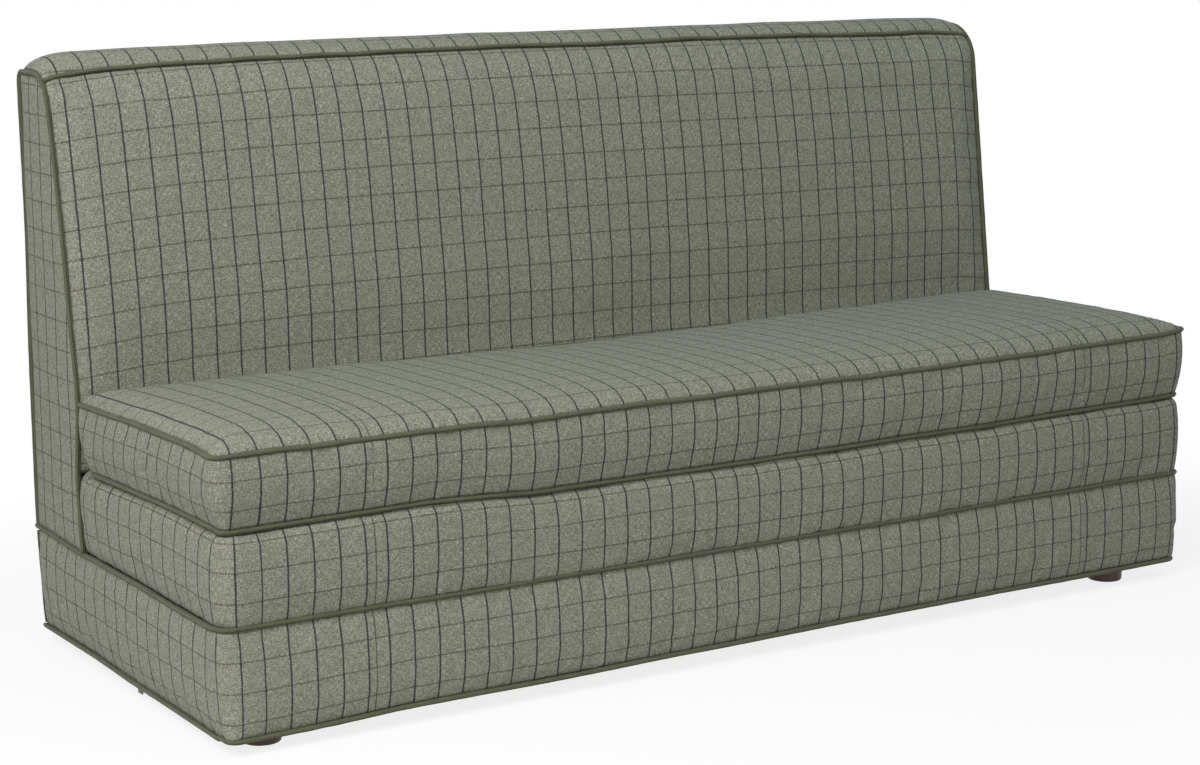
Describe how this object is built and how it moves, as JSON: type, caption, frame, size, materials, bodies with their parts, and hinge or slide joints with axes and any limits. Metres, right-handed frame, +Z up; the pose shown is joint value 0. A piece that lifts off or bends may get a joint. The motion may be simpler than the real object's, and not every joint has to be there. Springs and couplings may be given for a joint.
{
  "type": "storage banquette",
  "caption": "Armless upholstered settee with a loose piped seat cushion on a hinged lid over a storage well, a reclined padded back with a rolled top, and short turned feet.",
  "frame": {"origin": "on the floor, under the middle of the settee's box", "axes": "+Z up, +X along the settee, front faces -Y"},
  "size_m": [1.919, 0.733, 0.989],
  "materials": {
    "check_tweed": "mottled wool tweed with a windowpane check",
    "piping_cloth": "plain olive wool over cord",
    "birch_plywood": "sanded birch plywood",
    "pine": "planed softwood",
    "stained_beech": "dark stained and lacquered beech",
    "zinc_plate": "zinc plated steel",
    "bright_steel": "ground and plated steel",
    "black_paint": "black painted steel tube",
    "black_lining": "black nonwoven",
    "webbing": "woven webbing"
  },
  "bodies": {
    "base": {"back_board": "birch_plywood", "back_left_border": "check_tweed", "back_left_piping": "piping_cloth", "back_lower_rail": "pine", "back_middle_rail": "pine", "back_pad": "check_tweed", "back_right_border": "check_tweed", "back_right_piping": "piping_cloth", "back_top_border": "check_tweed", "back_top_piping": "piping_cloth", "back_top_rail": "pine", "base_bottom_piping": "piping_cloth", "base_front_border": "check_tweed", "base_left_border": "check_tweed", "base_left_rear_piping": "piping_cloth", "base_rear_border": "check_tweed", "base_right_border": "check_tweed", "base_right_rear_piping": "piping_cloth", "base_top_piping": "piping_cloth", "dust_cover": "black_lining", "front_floor_bearer": "pine", "front_left_foot": "stained_beech", "front_lid_rest": "pine", "front_panel": "birch_plywood", "front_right_foot": "stained_beech", "hinge_fixed_leaf": "zinc_plate", "hinge_pin": "bright_steel", "hinge_rail": "pine", "left_back_post": "pine", "left_lid_rest": "pine", "left_link_bracket": "zinc_plate", "left_side_panel": "birch_plywood", "left_strut_foot_bracket": "zinc_plate", "outside_back": "check_tweed", "rear_floor_bearer": "pine", "rear_left_foot": "stained_beech", "rear_panel": "birch_plywood", "rear_right_foot": "stained_beech", "right_back_post": "pine", "right_lid_rest": "pine", "right_side_panel": "birch_plywood", "right_strut_foot_bracket": "zinc_plate", "seat_front_border": "check_tweed", "seat_left_border": "check_tweed", "seat_right_border": "check_tweed", "storage_floor": "birch_plywood"},
    "lid": {"lid_board": "birch_plywood", "hinge_moving_leaf": "zinc_plate", "lid_pull_tab": "webbing", "left_strut_lid_bracket": "zinc_plate", "right_strut_lid_bracket": "zinc_plate"},
    "cushion": {"seat_cushion": "check_tweed", "cushion_top_piping": "piping_cloth", "cushion_bottom_piping": "piping_cloth"},
    "left_cylinder": {"left_strut_cylinder": "black_paint"},
    "left_rod": {"left_strut_rod": "bright_steel"},
    "right_cylinder": {"right_strut_cylinder": "black_paint"},
    "right_rod": {"right_strut_rod": "bright_steel"}
  },
  "joints": [
    {"name": "lid_hinge", "type": "hinge", "parent": "base", "child": "lid", "pos_m": [0, 0.1298, 0.3365], "axis": [-1, 0, 0], "range_deg": [0, 55]},
    {"name": "cushion_slide", "type": "slide", "parent": "lid", "child": "cushion", "axis": [0, -1, 0], "range_m": [0, 0.132]},
    {"name": "left_strut_swing", "type": "hinge", "parent": "base", "child": "left_cylinder", "pos_m": [-0.88, 0.06467, 0.0951], "axis": [-1, 0, 0], "range_deg": [0, 28]},
    {"name": "left_rod_swing", "type": "hinge", "parent": "lid", "child": "left_rod", "pos_m": [-0.88, -0.11687, 0.29566], "axis": [-1, 0, 0], "range_deg": [-28, 0]},
    {"name": "right_strut_swing", "type": "hinge", "parent": "base", "child": "right_cylinder", "pos_m": [0.88, 0.06467, 0.0951], "axis": [-1, 0, 0], "range_deg": [0, 28]},
    {"name": "right_rod_swing", "type": "hinge", "parent": "lid", "child": "right_rod", "pos_m": [0.88, -0.11687, 0.29566], "axis": [-1, 0, 0], "range_deg": [-28, 0]}
  ],
  "couplings": [
    {"joint": "cushion_slide", "follows": "lid_hinge", "m_per_rad": 0.135},
    {"joint": "left_strut_swing", "follows": "lid_hinge", "ratio": 0.5},
    {"joint": "left_rod_swing", "follows": "lid_hinge", "ratio": -0.5},
    {"joint": "right_strut_swing", "follows": "lid_hinge", "ratio": 0.5},
    {"joint": "right_rod_swing", "follows": "lid_hinge", "ratio": -0.5}
  ]
}
